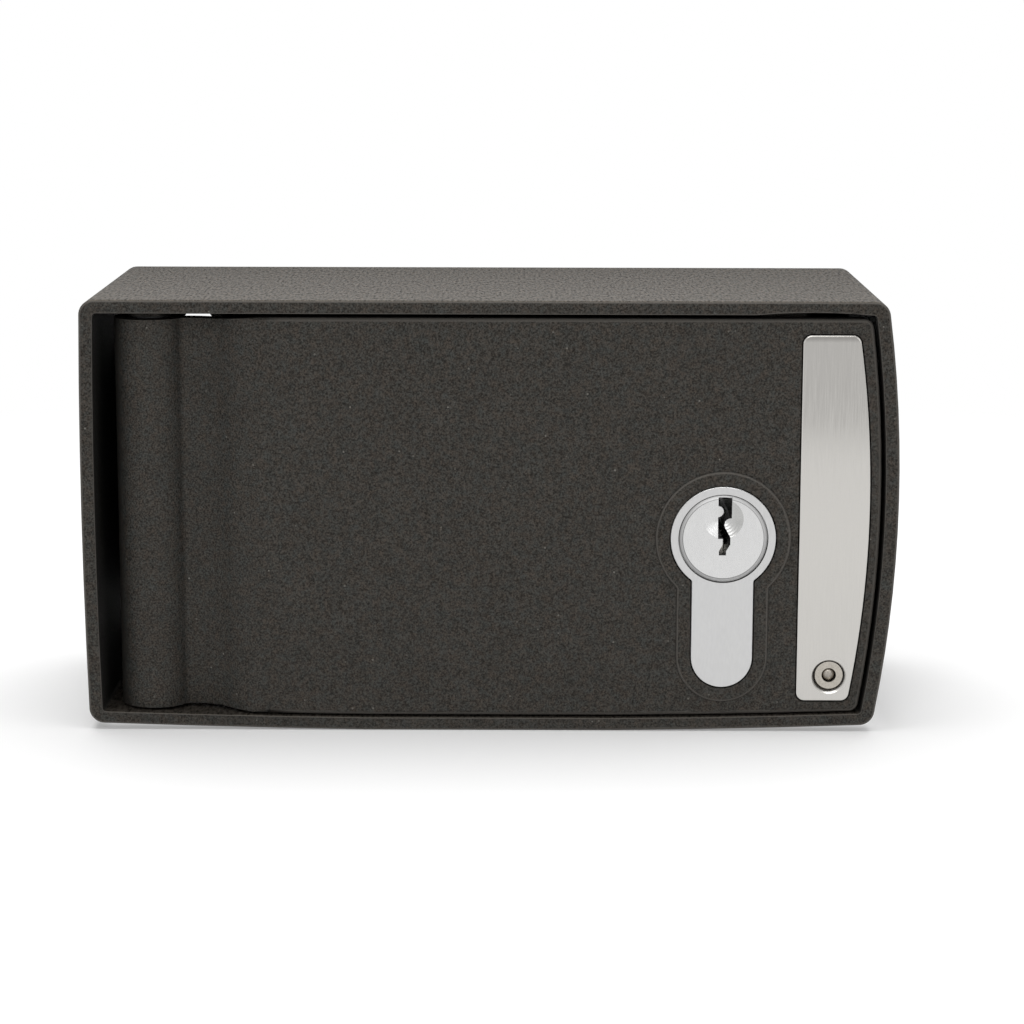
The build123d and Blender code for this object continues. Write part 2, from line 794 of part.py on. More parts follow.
def cover_screw_heights():
    """Heights of the two screws in the bolt cover."""
    low = bolt_z + bolt_height / 2 + bolt_slot_gap + screw_head_radius
    return (low, low + cover_screw_spacing)


def make_bolt_cover():
    """Small plate that closes the bolt slot from behind."""
    low = bolt_z - bolt_height / 2 - guide_wall
    plate = block(guide_left + cover_inset, guide_right - cover_inset, guide_back,
                  guide_back + cover_thickness, low, guide_top - cover_inset)
    plate = fillet(plate.edges().filter_by(Axis.Y), cover_inset)
    for z in cover_screw_heights():
        plate -= rod_y(guide_middle, z, screw_radius + screw_gap, guide_back - over,
                       guide_back + cover_thickness + over)
    return plate


def make_bolt_cover_screws():
    """Screws of the bolt cover."""
    seat = guide_back + cover_thickness
    return Compound([cap_screw_y(guide_middle, z, seat, screw_depth)
                     for z in cover_screw_heights()])


def make_keep_block():
    """Steel block screwed to the right wall. The thrown bolt lies behind it."""
    keep = keep_shape(keep_face_x, keep_seat_x)
    sink_length = screw_head_radius - screw_radius
    sink = Cone(screw_head_radius + screw_gap, screw_radius + screw_gap, sink_length)
    for z in keep_screw_heights():
        keep -= rod_x(keep_middle_y, z, screw_radius + screw_gap, keep_face_x - over, far)
        keep -= Pos(keep_face_x + sink_length / 2, keep_middle_y, z) * Rot(0, 90, 0) * sink
    return keep


def make_keep_screws():
    """Countersunk screws of the keep block."""
    return Compound([countersunk_screw_x(keep_middle_y, z, keep_face_x, keep_screw_length)
                     for z in keep_screw_heights()])


def make_door_buffers():
    """Soft pads on the two door stops."""
    front = door_back + buffer_gap
    pads = []
    for x, z0, z1 in stop_spans():
        inside = z1 - stop_reach / 2 if z0 == 0 else z0 + stop_reach / 2
        pads.append(rod_y(x, inside, buffer_radius, front, front + buffer_thickness))
    return Compound(pads)


def make_trim_strip():
    """Stainless strip with rounded edges, a locating tab and a countersunk hole."""
    strip = along_y(strip_outline(0), strip_front, strip_back)
    strip = fillet(strip.edges().group_by(Axis.Y)[0], strip_bevel)
    strip += strip_tab(0)
    strip -= rod_y(rivet_x, rivet_z, rivet_radius + rivet_hole_gap, -over, strip_back + over)
    return strip - cone_y(rivet_x, rivet_z - rivet_sink_drop, rivet_sink_radius,
                          rivet_radius + rivet_hole_gap, strip_front,
                          strip_front + rivet_sink_radius - rivet_radius)


def make_strip_rivet():
    """Blind rivet: head in the countersink, shank, and bulb behind the door."""
    head = rod_y(rivet_x, rivet_z, rivet_radius, strip_front + rivet_setback, door_back)
    flange = cone_y(rivet_x, rivet_z, rivet_head_radius, rivet_radius,
                    strip_front + rivet_setback, strip_front + rivet_setback + rivet_head_depth)
    bulb = rod_y(rivet_x, rivet_z, rivet_bulb_radius, door_back, door_back + rivet_bulb_length)
    bulb = fillet(bulb.edges().group_by(Axis.Y)[-1], rivet_bulb_round)
    rivet = head + flange + bulb
    return rivet - rod_y(rivet_x, rivet_z, mandrel_radius + mandrel_gap, 0,
                         door_back + rivet_bulb_length - mandrel_radius)


def make_rivet_mandrel():
    """Broken stem left inside the rivet."""
    stem = rod_y(rivet_x, rivet_z, mandrel_radius, strip_front + mandrel_setback,
                 door_back + rivet_bulb_length - mandrel_radius)
    return fillet(stem.edges().group_by(Axis.Y)[0], mandrel_round)


def make_key_rail():
    """Pressed steel rail with upturned key hooks."""
    back = inner_back - rail_boss_height
    front = back - rail_thickness
    rail = block(rail_x - rail_width / 2, rail_x + rail_width / 2, front, back,
                 rail_centre_z - rail_height / 2, rail_centre_z + rail_height / 2)
    rail = fillet(rail.edges().filter_by(Axis.Y), hook_bend)
    low = rail_centre_z - rail_height / 2
    tip = front - hook_reach
    points = [(front + rail_thickness / 2, low), (tip, low), (tip, low + hook_rise),
              (tip + rail_thickness, low + hook_rise), (tip + rail_thickness, low + rail_thickness),
              (front + rail_thickness / 2, low + rail_thickness)]
    side_view = make_face(Polyline(points, close=True))
    heel = [v for v in side_view.vertices() if v.X < tip + hook_bend and v.Y < low + hook_bend]
    side_view = fillet(heel[0:1], hook_bend)
    hook = extrude(Plane.YZ * side_view, hook_width)
    for i in range(hook_count):
        x = rail_x + (i - (hook_count - 1) / 2) * hook_pitch
        rail += Pos(x - hook_width / 2, 0, 0) * hook
    for x in rail_screw_places():
        rail -= rod_y(x, rail_centre_z, screw_radius + screw_gap, front - over, back + over)
    return rail


def make_rail_screws():
    """Screws of the key rail, with their heads towards the door."""
    seat = inner_back - rail_boss_height - rail_thickness
    screws = []
    for x in rail_screw_places():
        shank = rod_y(x, rail_centre_z, screw_radius - screw_gap, seat, seat + screw_depth
                      - rail_thickness - screw_gap)
        head = rod_y(x, rail_centre_z, screw_head_radius, seat - screw_head_height, seat)
        socket = along_y(Pos(x, rail_centre_z) * RegularPolygon(screw_socket_radius, 6),
                         seat - screw_head_height, seat - screw_head_height + screw_socket_depth)
        screws.append(shank + head - socket)
    return Compound(screws)


os.makedirs("parts", exist_ok=True)
save("casing", make_casing())
save("hinge_pin", make_hinge_pin())
save("hinge_washers", make_hinge_washers())
save("keep_block", make_keep_block())
save("keep_screws", make_keep_screws())
save("door_buffers", make_door_buffers())
save("key_rail", make_key_rail())
save("rail_screws", make_rail_screws())
save("door", make_door())
save("cylinder_body", make_cylinder_body())
save("cylinder_fixing_screw", make_fixing_screw())
save("driver_pins", make_driver_pins())
save("pin_springs", make_pin_springs())
save("chamber_plugs", make_chamber_plugs())
save("bolt_cover", make_bolt_cover())
save("bolt_cover_screws", make_bolt_cover_screws())
save("trim_strip", make_trim_strip())
save("strip_rivet", make_strip_rivet())
save("rivet_mandrel", make_rivet_mandrel())
save("cylinder_plug", make_plug())
save("key_pins", make_key_pins())
save("plug_circlip", make_circlip())
save("cylinder_cam", make_cam())
save("slide_bolt", make_slide_bolt())
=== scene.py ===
import math

import bmesh
import bpy
from mathutils import Matrix, Vector


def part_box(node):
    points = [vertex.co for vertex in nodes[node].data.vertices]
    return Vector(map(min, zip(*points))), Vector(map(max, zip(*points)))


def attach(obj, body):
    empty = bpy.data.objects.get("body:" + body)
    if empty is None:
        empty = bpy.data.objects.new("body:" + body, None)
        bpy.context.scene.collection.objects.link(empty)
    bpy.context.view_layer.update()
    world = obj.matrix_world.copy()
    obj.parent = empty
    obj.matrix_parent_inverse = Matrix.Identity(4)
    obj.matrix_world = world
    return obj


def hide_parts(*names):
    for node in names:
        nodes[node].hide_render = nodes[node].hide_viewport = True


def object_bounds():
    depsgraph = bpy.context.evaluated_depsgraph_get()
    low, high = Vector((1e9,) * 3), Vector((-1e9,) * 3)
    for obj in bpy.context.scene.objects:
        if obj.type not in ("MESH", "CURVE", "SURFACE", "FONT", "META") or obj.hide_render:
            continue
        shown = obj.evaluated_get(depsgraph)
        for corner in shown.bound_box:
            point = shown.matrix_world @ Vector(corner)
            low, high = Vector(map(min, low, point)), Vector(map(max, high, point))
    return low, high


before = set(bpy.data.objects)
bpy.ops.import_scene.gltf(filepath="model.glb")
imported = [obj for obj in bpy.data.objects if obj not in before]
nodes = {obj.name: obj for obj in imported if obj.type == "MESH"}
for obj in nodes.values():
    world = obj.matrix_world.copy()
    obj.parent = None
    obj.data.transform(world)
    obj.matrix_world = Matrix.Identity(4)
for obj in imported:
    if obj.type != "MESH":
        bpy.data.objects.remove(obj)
packed_low, packed_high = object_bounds()
packed_middle = (Vector(packed_low) + Vector(packed_high)) / 2
millimetre = 0.001

# Casing.
# A deep tray cast in zinc alloy, blasted and coated with a fine textured black powder.
# The coat holds tiny pale flecks. Its rounded edges carry a painted highlight, and its inner
# faces carry painted shade.

coat_dark = (0.003, 0.003, 0.0027)
coat_light = (0.0455, 0.0442, 0.040)
# The next colour is a painted highlight for rounded edges.
coat_edge_highlight = (0.078, 0.073, 0.066)
# The next colour is painted shade, for inner faces and for faces turned to one side.
coat_painted_shade = (0.013, 0.0126, 0.0118)
coat_fleck = (0.15, 0.145, 0.13)
coat_sheen = (1.0, 0.90, 0.80)
warm_tint = (1.16, 0.99, 0.90)
cool_tint = (0.88, 1.01, 1.08)
# The next two colours give level faces a blotchy, warm and darker painted tone.
level_painted_tone_dark = (0.52, 0.46, 0.38)
level_painted_tone_light = (1.36, 1.16, 0.94)
grain_scale = 3600.0
mottle_scale = 160.0
tint_scale = 700.0
level_blotch_scale = 2300.0
fleck_scale = 900.0
upright_relief = 0.06 * millimetre
level_relief = 0.26 * millimetre


class Wiring:
    """A node tree, with short ways to add nodes and join them."""

    def __init__(self, tree):
        self.tree = tree

    def feed(self, socket, value):
        """Join an output to a socket, or set the socket to a number, a vector or a colour."""
        if isinstance(value, bpy.types.NodeSocket):
            self.tree.links.new(value, socket)
        elif socket.type == "RGBA" and len(value) == 3:
            socket.default_value = (*value, 1.0)
        else:
            socket.default_value = value

    def node(self, kind, output, inputs, **settings):
        """Add a node with its settings, feed its inputs and give back one output."""
        node = self.tree.nodes.new(kind)
        for key, value in settings.items():
            setattr(node, key, value)
        for key, value in inputs.items():
            self.feed(node.inputs[key], value)
        return node.outputs[output]

    def maths(self, operation, *values):
        """Arithmetic on one or two numbers."""
        return self.node("ShaderNodeMath", "Value", dict(enumerate(values)), operation=operation)

    def vectors(self, operation, *values, output="Vector"):
        """Arithmetic on one or two vectors."""
        return self.node("ShaderNodeVectorMath", output, dict(enumerate(values)),
                         operation=operation)

    def axis(self, vector, letter):
        """One number out of a vector."""
        return self.node("ShaderNodeSeparateXYZ", letter, {"Vector": vector})

    def span(self, value, start, end, low=0.0, high=1.0, curve="LINEAR"):
        """Carry a value between two limits over to two others."""
        return self.node("ShaderNodeMapRange", "Result",
                         {"Value": value, "From Min": start, "From Max": end,
                          "To Min": low, "To Max": high}, interpolation_type=curve)

    def mix(self, factor, first, second, kind="RGBA", **settings):
        """A blend of two colours, vectors or numbers."""
        return self.node("ShaderNodeMix", "Result", {"Factor": factor, "A": first, "B": second},
                         data_type=kind, **settings)

    def times(self, factor, first, second):
        """The first colour multiplied by the second as far as the factor says."""
        return self.mix(factor, first, second, blend_type="MULTIPLY")

    def stops(self, value, *steps):
        """A colour ramp with the given steps, each a place and a grey or a colour."""
        node = self.tree.nodes.new("ShaderNodeValToRGB")
        elements = node.color_ramp.elements
        elements[0].position = steps[0][0]
        elements[1].position = steps[-1][0]
        for position, _ in steps[1:-1]:
            elements.new(position)
        for element, (position, tone) in zip(elements, steps):
            colour = (tone, tone, tone) if isinstance(tone, (int, float)) else tone
            element.color = (*colour, 1.0)
        self.feed(node.inputs["Fac"], value)
        return node.outputs["Color"]


class Finish(Wiring):
    """A material in the making."""

    def __init__(self, name):
        self.material = bpy.data.materials.new(name)
        self.material.use_nodes = True
        super().__init__(self.material.node_tree)
        self.shader = self.tree.nodes["Principled BSDF"]
        self.place = self.node("ShaderNodeTexCoord", "Object", {})

    def give(self, **values):
        """Feed inputs of the surface shader, with _ for a space in their names."""
        for key, value in values.items():
            self.feed(self.shader.inputs[key.replace("_", " ")], value)

    def source(self, name):
        """The output that feeds an input of the surface shader."""
        return self.shader.inputs[name].links[0].from_socket

    def noise(self, at, scale, detail, roughness=0.5):
        """Cloudy noise."""
        return self.node("ShaderNodeTexNoise", "Fac", {"Vector": at, "Scale": scale,
                                                       "Detail": detail, "Roughness": roughness})

    def stretched(self, at, scale):
        """A place with its three axes scaled."""
        return self.node("ShaderNodeMapping", "Vector", {"Vector": at, "Scale": scale})

    def bump(self, height, strength, distance, **more):
        """A shading normal that leans with a height."""
        return self.node("ShaderNodeBump", "Normal", {"Height": height, "Strength": strength,
                                                      "Distance": distance, **more})


def powder_coat(name, seed, edge_highlight_from, shaded_side=None):
    """Fine powder coat: grain, flecks, painted edge highlights, a warm painted top tone, and
    painted shade inside or on one side.
    """
    coat = Finish(name)
    point = coat.node("ShaderNodeMapping", "Vector",
                      {"Vector": coat.place, "Location": (seed, seed, seed)})
    facing = coat.node("ShaderNodeTexCoord", "Normal", {})
    level = coat.span(coat.axis(facing, "Z"), 0.6, 0.95, high=0.0 if shaded_side else 1.0)

    # Grain, drawn out on level faces, with mottling and two tints over it
    runs = coat.mix(level, (1.0, 1.0, 1.0), (0.7, 0.28, 1.0), "VECTOR")
    grain = coat.noise(coat.vectors("MULTIPLY", point, runs), grain_scale, 3.0, 0.65)
    colour = coat.stops(grain, (0.34, coat_dark), (0.66, coat_light))
    mottle = coat.stops(coat.noise(point, mottle_scale, 4.0, 0.7), (0.3, 0.90), (0.7, 1.10))
    tint = coat.stops(coat.noise(point, tint_scale, 4.0, 0.8), (0.36, warm_tint),
                      (0.64, cool_tint))
    colour = coat.times(1.0, coat.times(1.0, colour, mottle), tint)

    # Pale flecks, in a few of the cells
    cells = coat.node("ShaderNodeTexVoronoi", "Distance", {"Vector": point, "Scale": fleck_scale})
    core = coat.stops(cells, (0.0, 1.0), (0.12, 1.0), (0.17, 0.0))
    lot = coat.node("ShaderNodeSeparateColor", "Red", {"Color": cells.node.outputs["Color"]})
    chosen = coat.stops(lot, (0.0, 0.0), (0.93, 0.0), (0.99, 0.9))
    colour = coat.mix(coat.maths("MULTIPLY", core, chosen), colour, coat_fleck)

    # Painted highlight on rounded edges, where the rounding turns away from the front
    rounding = coat.stops(coat.maths("ABSOLUTE", coat.axis(facing, "Y")), (0.3, 0.0), (0.6, 0.8),
                          (0.93, 0.8), (0.99, 0.0))
    allowed = coat.span(coat.axis(coat.place, "X"), edge_highlight_from, edge_highlight_from + 3 * millimetre)
    colour = coat.mix(coat.maths("MULTIPLY", rounding, allowed), colour, coat_edge_highlight)

    # Painted shade: faces of one side, or those that look to the middle of the box, go darker and
    # lose sheen
    if shaded_side:
        turned = coat.vectors("DOT_PRODUCT", shaded_side, facing, output="Value")
        painted_shade = coat.span(turned, 0.65, 1.0, high=0.5)
    else:
        inward = coat.vectors("SUBTRACT", packed_middle, coat.place)
        turned = coat.vectors("DOT_PRODUCT", inward, facing, output="Value")
        painted_shade = coat.span(turned, 5 * millimetre, 24 * millimetre)
    colour = coat.mix(painted_shade, colour, coat_painted_shade)

    # Level faces: a blotchy warm, darker tone, painted for the warm light they reflect; the
    # blotches also break up their sheen
    level_blotch = coat.noise(coat.stretched(point, (1.0, 0.25, 1.0)), level_blotch_scale, 2.0)
    colour = coat.times(level, colour, coat.stops(level_blotch, (0.35, level_painted_tone_dark), (0.65, level_painted_tone_light)))
    shine = coat.mix(painted_shade, coat.stops(grain, (0.32, 0.20), (0.68, 0.44)), 0.15, "FLOAT")
    fall = coat.span(coat.axis(coat.place, "Y"), packed_low[1], packed_high[1], 1.45, 0.55)
    glint = coat.maths("MULTIPLY", coat.stops(level_blotch, (0.31, 0.05), (0.69, 0.63)), fall)
    relief = coat.span(level, 0.0, 1.0, upright_relief, level_relief)
    coat.give(Base_Color=colour, Specular_Tint=coat_sheen,
              Specular_IOR_Level=coat.mix(level, shine, glint, "FLOAT"),
              Roughness=coat.stops(grain, (0.3, 0.50), (0.7, 0.68)),
              Normal=coat.bump(grain, 0.6, relief))
    return coat


def dress(node, finish):
    """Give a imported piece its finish."""
    mesh = nodes[node].data
    mesh.materials.clear()
    mesh.materials.append(finish.material)


whole_width = -1.0
dress("casing", powder_coat("casing_powder_coat", 0.0, whole_width))

# Hinge pin and washers.
# A plain ground stainless pin, pressed in through the underside of the casing.
# Two thin nylon washers carry the weight of the door on the cast bosses.


def plain_metal(name, colour, roughness, scale, stretch=(1, 1, 1), contrast=0.12, relief=0.2):
    """Metal with fine tool marks in tone and gloss, which run one way where it is stretched."""
    metal = Finish(name)
    marks = metal.noise(metal.stretched(metal.place, stretch), scale, 3.0)
    darker = tuple((1.0 - contrast) * part for part in colour)
    metal.give(Base_Color=metal.stops(marks, (0.3, darker), (0.7, colour)), Metallic=1.0,
               Roughness=metal.stops(marks, (0.3, roughness - 0.05), (0.7, roughness + 0.05)),
               Normal=metal.bump(marks, relief, 0.02 * millimetre))
    return metal


def moulded(name, colour, roughness):
    """Plastic or rubber with a faint moulded grain."""
    plastic = Finish(name)
    grain = plastic.noise(plastic.place, 1800.0, 2.0)
    darker = tuple(0.9 * part for part in colour)
    plastic.give(Base_Color=plastic.stops(grain, (0.3, darker), (0.7, colour)),
                 Roughness=roughness, Normal=plastic.bump(grain, 0.3, 0.03 * millimetre))
    return plastic


dress("hinge_pin", plain_metal("ground_pin_steel", (0.52, 0.51, 0.49), 0.25, 3000.0, (1, 1, 6)))
dress("hinge_washers", moulded("black_nylon", (0.02, 0.02, 0.02), 0.5))

# Door.
# Cast in one with its hinge barrel, lock housing and bolt guide.
# It has the same coat as the casing, sprayed on its own, with painted shade on faces turned to
# the hinge side.

right_of_barrel = -36 * millimetre
# Faces turned this way get painted shade.
hinge_side = (-1.0, 0.0, 0.0)
dress("door", powder_coat("door_powder_coat", 0.37, right_of_barrel, hinge_side))

# Cylinder body.
# Half euro-profile body milled from brass bar, satin nickel plated.
# It is screwed into the door's housing from the side.


def satin_nickel(name, colour, roughness):
    """Satin plating: a soft even grain with faint brushing up and down."""
    return plain_metal(name, colour, roughness, 3200.0, (1.0, 1.0, 0.25), 0.05, 0.15)


dress("cylinder_body", satin_nickel("body_satin_nickel", (0.618, 0.617, 0.615), 0.36))

# Plug.
# Turned from brass bar, faced off and plated, with a coned guide for the key.
# Tool marks show in the cone, and painted shade darkens the cone's far side and the bevel round
# the edge.

plug_low, plug_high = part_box("cylinder_plug")
plug_middle = (plug_low + plug_high) / 2
plug_edge = (plug_high.x - plug_low.x) / 2
bevel_width = 0.6 * millimetre
shade_margin = 0.2 * millimetre
bevel_roughness = 0.5
cone_rise = 3.2 * millimetre
cone_radius = 3.2 * millimetre
# The next colour is painted shade for the far side of the coned guide.
cone_far_painted_shade = (0.72, 0.72, 0.71)
groove_pitch = 0.5 * millimetre


def face_radius(finish, centre):
    """Distance from an axis that runs front to back, and the way from a point on it."""
    offset = finish.vectors("SUBTRACT", finish.place, centre)
    flat = finish.vectors("MULTIPLY", offset, (1.0, 0.0, 1.0))
    return finish.vectors("LENGTH", flat, output="Value"), offset


def bevel_painted_shade(metal):
    """Paint shade on the plug's bevel, most at the lower left, with a thin dark line along both
    its edges.
    """
    radius, offset = face_radius(metal, plug_middle)
    ring = metal.span(radius, plug_edge - bevel_width - shade_margin, plug_edge)
    tone = metal.stops(ring, (0.0, 1.0), (0.14, 1.0), (0.25, 0.12), (0.36, 0.66), (0.8, 0.6),
                       (1.0, 0.2))
    lean = metal.vectors("DOT_PRODUCT", offset, (-1.0, 0.0, -0.6), output="Value")
    side = metal.span(lean, -plug_edge, plug_edge, 0.75, 1.0)
    on_bevel = metal.stops(ring, (0.2, 0.0), (0.3, 1.0))
    metal.give(Base_Color=metal.times(side, metal.source("Base Color"), tone),
               Roughness=metal.mix(on_bevel, metal.source("Roughness"), bevel_roughness, "FLOAT"))


def grooves_in_cone(metal):
    """Fine turned grooves inside the coned guide, with painted shade on its far side."""
    radius, offset = face_radius(metal, plug_middle + Vector((0, 0, cone_rise)))
    inside = metal.maths("LESS_THAN", radius, cone_radius)
    wave = metal.maths("PINGPONG", radius, groove_pitch / 2)
    height = metal.maths("MULTIPLY", wave, inside)
    far_side = metal.span(metal.axis(offset, "X"), -0.3 * cone_radius, 0.6 * cone_radius)
    shaded = metal.maths("MULTIPLY", inside, far_side)
    metal.give(Base_Color=metal.times(shaded, metal.source("Base Color"), cone_far_painted_shade),
               Normal=metal.bump(height, 0.45, 0.2, Normal=metal.source("Normal")))


plug_finish = satin_nickel("plug_satin_nickel", (0.698, 0.697, 0.694), 0.27)
# Painted shade goes on the bevel and on the far side of the cone.
bevel_painted_shade(plug_finish)
grooves_in_cone(plug_finish)
dress("cylinder_plug", plug_finish)

# Pins and springs in the cylinder.
# Five stacks: a pointed key pin, a driver pin with a waist, a wound spring and a brass plug.
# They stand in the drilled chambers, one behind another.

brass = plain_metal("turned_brass", (0.72, 0.53, 0.25), 0.3, 2600.0, (1.0, 1.0, 3.0))
# This dark colour is the circlip's and cam's own, and painted shade on the key pins.
dark_steel_and_pin_shade = plain_metal("dark_metal_and_pin_shade", (0.24, 0.23, 0.21), 0.35, 1500.0)
spring_steel = plain_metal("spring_wire", (0.45, 0.44, 0.42), 0.3, 2500.0, (1, 1, 4))
pin_count = 5
pin_chamfer = 0.25 * millimetre
pin_point = 1.2 * millimetre
spring_wire = 0.15 * millimetre
spring_turns = 13
sharp_angle = math.radians(35)
dress("chamber_plugs", brass)
dress("plug_circlip", dark_steel_and_pin_shade)
dress("cylinder_cam", dark_steel_and_pin_shade)


def skin(rows):
    """A closed shape over rows of vertices that go round it."""
    shape = bmesh.new()
    rows = [[shape.verts.new(corner) for corner in row] for row in rows]
    for low, high in zip(rows, rows[1:]):
        for i in range(len(low)):
            j = (i + 1) % len(low)
            shape.faces.new((low[i], low[j], high[j], high[i]))
    shape.faces.new(rows[0])
    shape.faces.new(rows[-1])
    return shape


def loft(rings, segments=40):
    """A closed round shape through rings, each a height and a radius or a rule for it."""
    rows = []
    for height, radius in rings:
        row = []
        for i in range(segments):
            angle = 2 * math.pi * i / segments
            reach = radius(angle) if callable(radius) else radius
            row.append((reach * math.cos(angle), reach * math.sin(angle), height))
        rows.append(row)
    return skin(rows)


def coil(radius, wire, length, turns, steps_per_turn=20, sides=8):
    """A wound compression spring that stands on z = 0, with its end turns closed."""
    rows = []
    for step in range(turns * steps_per_turn + 1):
        turn = step / steps_per_turn
        rise = min(max((turn - 1.0) / (turns - 2.0), 0.0), 1.0)
        height = wire + (length - 2 * wire) * rise
        angle = 2 * math.pi * turn
        row = []
        for i in range(sides):
            around = 2 * math.pi * i / sides
            reach = radius + wire * math.cos(around)
            row.append((reach * math.cos(angle), reach * math.sin(angle),
                        height + wire * math.sin(around)))
        rows.append(row)
    return skin(rows)


def row_tree(name, finish):
    """Geometry nodes that set copies of a piece in a row, with the tree's named inputs."""
    tree = bpy.data.node_groups.new(name + "_row", "GeometryNodeTree")
    kinds = {"Piece": "NodeSocketGeometry", "Count": "NodeSocketInt",
             "Start": "NodeSocketVector", "Step": "NodeSocketVector"}
    sockets = {label: tree.interface.new_socket(name=label, in_out="INPUT", socket_type=kind)
               for label, kind in kinds.items()}
    tree.interface.new_socket(name="Row", in_out="OUTPUT", socket_type="NodeSocketGeometry")
    wiring = Wiring(tree)
    entry = tree.nodes.new("NodeGroupInput").outputs
    line = wiring.node("GeometryNodeMeshLine", "Mesh", {
        "Count": entry["Count"], "Start Location": entry["Start"], "Offset": entry["Step"]})
    copies = wiring.node("GeometryNodeInstanceOnPoints", "Instances",
                         {"Points": line, "Instance": entry["Piece"]})
    solid = wiring.node("GeometryNodeRealizeInstances", "Geometry", {"Geometry": copies})
    coloured = wiring.node("GeometryNodeSetMaterial", "Geometry",
                           {"Geometry": solid, "Material": finish.material})
    wiring.feed(tree.nodes.new("NodeGroupOutput").inputs["Row"], coloured)
    return tree, sockets


def in_row(name, shape, finish, count, start, step, body, node):
    """Copies of one small piece in a row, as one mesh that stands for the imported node."""
    bmesh.ops.recalc_face_normals(shape, faces=shape.faces)
    single = bpy.data.meshes.new(name + "_single")
    shape.to_mesh(single)
    shape.free()
    single.shade_smooth()
    single.set_sharp_from_angle(angle=sharp_angle)
    tree, sockets = row_tree(name, finish)
    host = bpy.data.objects.new(name + "_host", single)
    bpy.context.scene.collection.objects.link(host)
    row = host.modifiers.new("row", "NODES")
    row.node_group = tree
    for label, value in (("Count", count), ("Start", start), ("Step", step)):
        row[sockets[label].identifier] = value
    settled = host.evaluated_get(bpy.context.evaluated_depsgraph_get())
    mesh = bpy.data.meshes.new_from_object(settled)
    bpy.data.objects.remove(host)
    piece = bpy.data.objects.new(name, mesh)
    bpy.context.scene.collection.objects.link(piece)
    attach(piece, body)
    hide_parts(node)


def stack_row(name, shape, finish, body, node):
    """Five copies, one in each chamber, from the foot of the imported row."""
    low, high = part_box(node)
    radius = (high.x - low.x) / 2
    step = (high.y - low.y - 2 * radius) / (pin_count - 1)
    start = (low.x + radius, low.y + radius, low.z)
    in_row(name, shape, finish, pin_count, start, (0.0, step, 0.0), body, node)


def tumbler(node, waist, pointed):
    """A turned pin with a chamfered foot, a waist, and a blunt point or a chamfer on top."""
    low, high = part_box(node)
    length = high.z - low.z
    radius = (high.x - low.x) / 2
    drop, tip = (pin_point, 0.5 * radius) if pointed else (pin_chamfer, radius - pin_chamfer)
    return loft([(0.0, radius - pin_chamfer), (pin_chamfer, radius), (0.35 * length, radius),
                 (0.42 * length, waist * radius), (0.62 * length, waist * radius),
                 (0.69 * length, radius), (length - drop, radius), (length, tip)])


# The key pins take the dark colour as painted shade, so the keyway stays dark.
stack_row("turned_key_pins", tumbler("key_pins", 1.0, True), dark_steel_and_pin_shade, "plug", "key_pins")
stack_row("turned_driver_pins", tumbler("driver_pins", 0.78, False), brass, "door",
          "driver_pins")
spring_low, spring_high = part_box("pin_springs")
spring_radius = (spring_high.x - spring_low.x) / 2 - spring_wire
stack_row("wound_pin_springs",
          coil(spring_radius, spring_wire, spring_high.z - spring_low.z, spring_turns),
          spring_steel, "door", "pin_springs")

# Slide bolt, its cover and the plated steel small parts.
# Pressed and turned from mild steel, clear zinc plated.

zinc = plain_metal("clear_zinc_plate", (0.60, 0.61, 0.62), 0.38, 900.0)
for name in ("slide_bolt", "bolt_cover", "cylinder_fixing_screw", "keep_block", "key_rail"):
    dress(name, zinc)

# Small screws.
# Socket screws with rolled threads: two in the bolt cover, two in the key rail,
# and two countersunk ones in the keep block.

screw_radius = 1.48 * millimetre
thread_depth = 0.28 * millimetre
thread_pitch = 0.5 * millimetre
rings_per_pitch = 8
head_radius = 2.7 * millimetre
head_height = 1.7 * millimetre
head_chamfer = 0.25 * millimetre
under_head = 0.1 * millimetre
socket_corner = 1.0 * millimetre
socket_depth = 1.0 * millimetre
sink_height = 1.2 * millimetre
quarter_turn = math.radians(90)


def thread(height):
    """The radius rule of a rolled thread at one height."""
    def rule(angle):
        place = height / thread_pitch - angle / (2 * math.pi)
        crest = 1.0 - abs(2.0 * (place % 1.0) - 1.0)
        return screw_radius - thread_depth * (1.0 - crest)
    return rule


def hexagon(angle):
    """The radius rule of the socket."""
    flat = socket_corner * math.cos(math.pi / 6)
    return flat / math.cos((angle + math.pi / 6) % (math.pi / 3) - math.pi / 6)


def socket_screw(length, top, head):
    """A screw whose head top is at the given height, with its thread below z = 0."""
    steps = int(length / thread_pitch * rings_per_pitch)
    rings = [(-length, screw_radius - 2 * thread_depth)]
    rings += [(-length + (i + 1) * length / (steps + 2), thread(i * length / (steps + 2)))
              for i in range(steps)]
    return loft(rings + head + [(top, hexagon), (top - socket_depth, hexagon)], 48)


def plated_screws(node, shape, turn, axis, start, step, body):
    """Two screws, turned to their direction and set at their places."""
    bmesh.ops.transform(shape, matrix=Matrix.Rotation(turn, 4, axis), verts=shape.verts)
    in_row("threaded_" + node, shape, zinc, 2, start, step, body, node)


